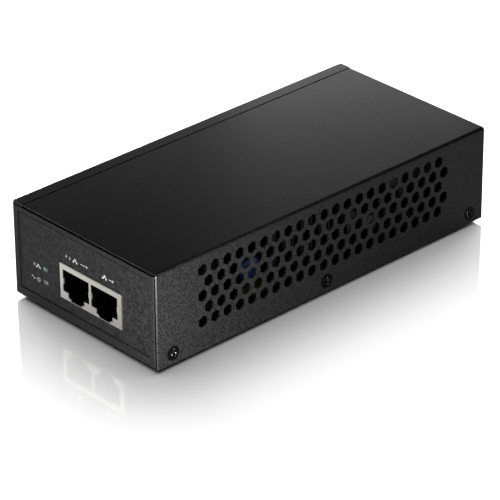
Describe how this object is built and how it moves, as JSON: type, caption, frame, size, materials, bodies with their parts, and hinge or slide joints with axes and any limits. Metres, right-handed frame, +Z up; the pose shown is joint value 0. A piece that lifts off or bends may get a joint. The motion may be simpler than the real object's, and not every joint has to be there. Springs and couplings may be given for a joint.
{
  "type": "poe injector",
  "caption": "Desktop mains PoE injector: flat black steel box with network sockets and lamps at the front, a mains inlet at the back and hexagonal side vents.",
  "frame": {"origin": "on the surface the feet stand on, at the middle of the footprint", "axes": "+Z up, -Y out of the port face, +X out of the cover's vented side"},
  "size_m": [0.071, 0.1526, 0.0365],
  "materials": {
    "black_powder_coat": "satin fine-grained powder coat",
    "black_screw": "gloss black plated",
    "zinc_steel": "zinc plated",
    "label_film": "fine-textured polycarbonate",
    "silver_label": "matt foil",
    "black_rubber": "matt",
    "board_green": "solder mask",
    "film_black": "matt film",
    "shell_nickel": "satin nickel plate",
    "housing_black": "moulded",
    "contact_gold": "gold flash",
    "lamp_resin": "diffused translucent resin, unlit",
    "chip_black": "moulded epoxy",
    "tantalum_yellow": "moulded epoxy",
    "can_sleeve": "shrink sleeve",
    "ferrite": "sintered ferrite",
    "powder_core": "epoxy-coated powder core",
    "copper_wire": "enamelled copper",
    "tape_yellow": "polyester tape",
    "bobbin_black": "phenolic",
    "sink_black": "black anodised",
    "disc_blue": "dipped epoxy",
    "xcap_grey": "moulded box",
    "fuse_brown": "moulded cap",
    "nylon_white": "natural nylon",
    "inlet_black": "moulded, satin",
    "pin_nickel": "nickel plate",
    "wire_brown": "PVC",
    "wire_blue": "PVC",
    "wire_earth": "PVC, green and yellow"
  },
  "bodies": {
    "case": {"chassis": "black_powder_coat", "cover": "black_powder_coat", "cover_screws": "black_screw", "clinch_nuts": "zinc_steel", "front_label": "label_film", "rating_label": "silver_label", "rubber_feet": "black_rubber", "standoffs": "zinc_steel", "insulating_film": "film_black", "circuit_board": "board_green", "board_screws": "zinc_steel", "jack_shell": "shell_nickel", "jack_housing": "housing_black", "jack_leads": "contact_gold", "lamp_holder": "housing_black", "poe_lamp": "lamp_resin", "power_lamp": "lamp_resin", "lan_transformer": "chip_black", "poe_controller": "chip_black", "tantalum_capacitors": "tantalum_yellow", "output_capacitors": "can_sleeve", "output_choke_core": "powder_core", "output_choke_winding": "copper_wire", "y_capacitor": "disc_blue", "transformer_core": "ferrite", "transformer_bobbin": "bobbin_black", "transformer_winding": "tape_yellow", "primary_heat_sink": "sink_black", "output_heat_sink": "sink_black", "primary_transistor": "chip_black", "output_diode": "chip_black", "heat_sink_screws": "zinc_steel", "converter_chip": "chip_black", "optocoupler": "chip_black", "bulk_capacitor": "can_sleeve", "bridge_rectifier": "chip_black", "line_choke_base": "bobbin_black", "line_choke_core": "ferrite", "line_choke_windings": "copper_wire", "x_capacitor": "xcap_grey", "varistor": "disc_blue", "fuse": "fuse_brown", "mains_header": "nylon_white", "inlet_housing": "inlet_black", "inlet_pins": "pin_nickel", "terminal_sleeves": "nylon_white", "live_wire": "wire_brown", "neutral_wire": "wire_blue", "earth_wire": "wire_earth", "earth_ring": "zinc_steel", "earth_stud": "zinc_steel", "earth_nut": "zinc_steel"},
    "port_1_wires": {"port_1_contacts": "contact_gold"},
    "port_2_wires": {"port_2_contacts": "contact_gold"}
  },
  "joints": [
    {"name": "port_1_spring", "type": "hinge", "parent": "case", "child": "port_1_wires", "pos_m": [-0.00371, -0.0729, 0.02105], "axis": [1, 0, 0], "range_deg": [0, 14], "stiffness_Nm_per_rad": 0.28},
    {"name": "port_2_spring", "type": "hinge", "parent": "case", "child": "port_2_wires", "pos_m": [0.01026, -0.0729, 0.02105], "axis": [1, 0, 0], "range_deg": [0, 14], "stiffness_Nm_per_rad": 0.28}
  ]
}
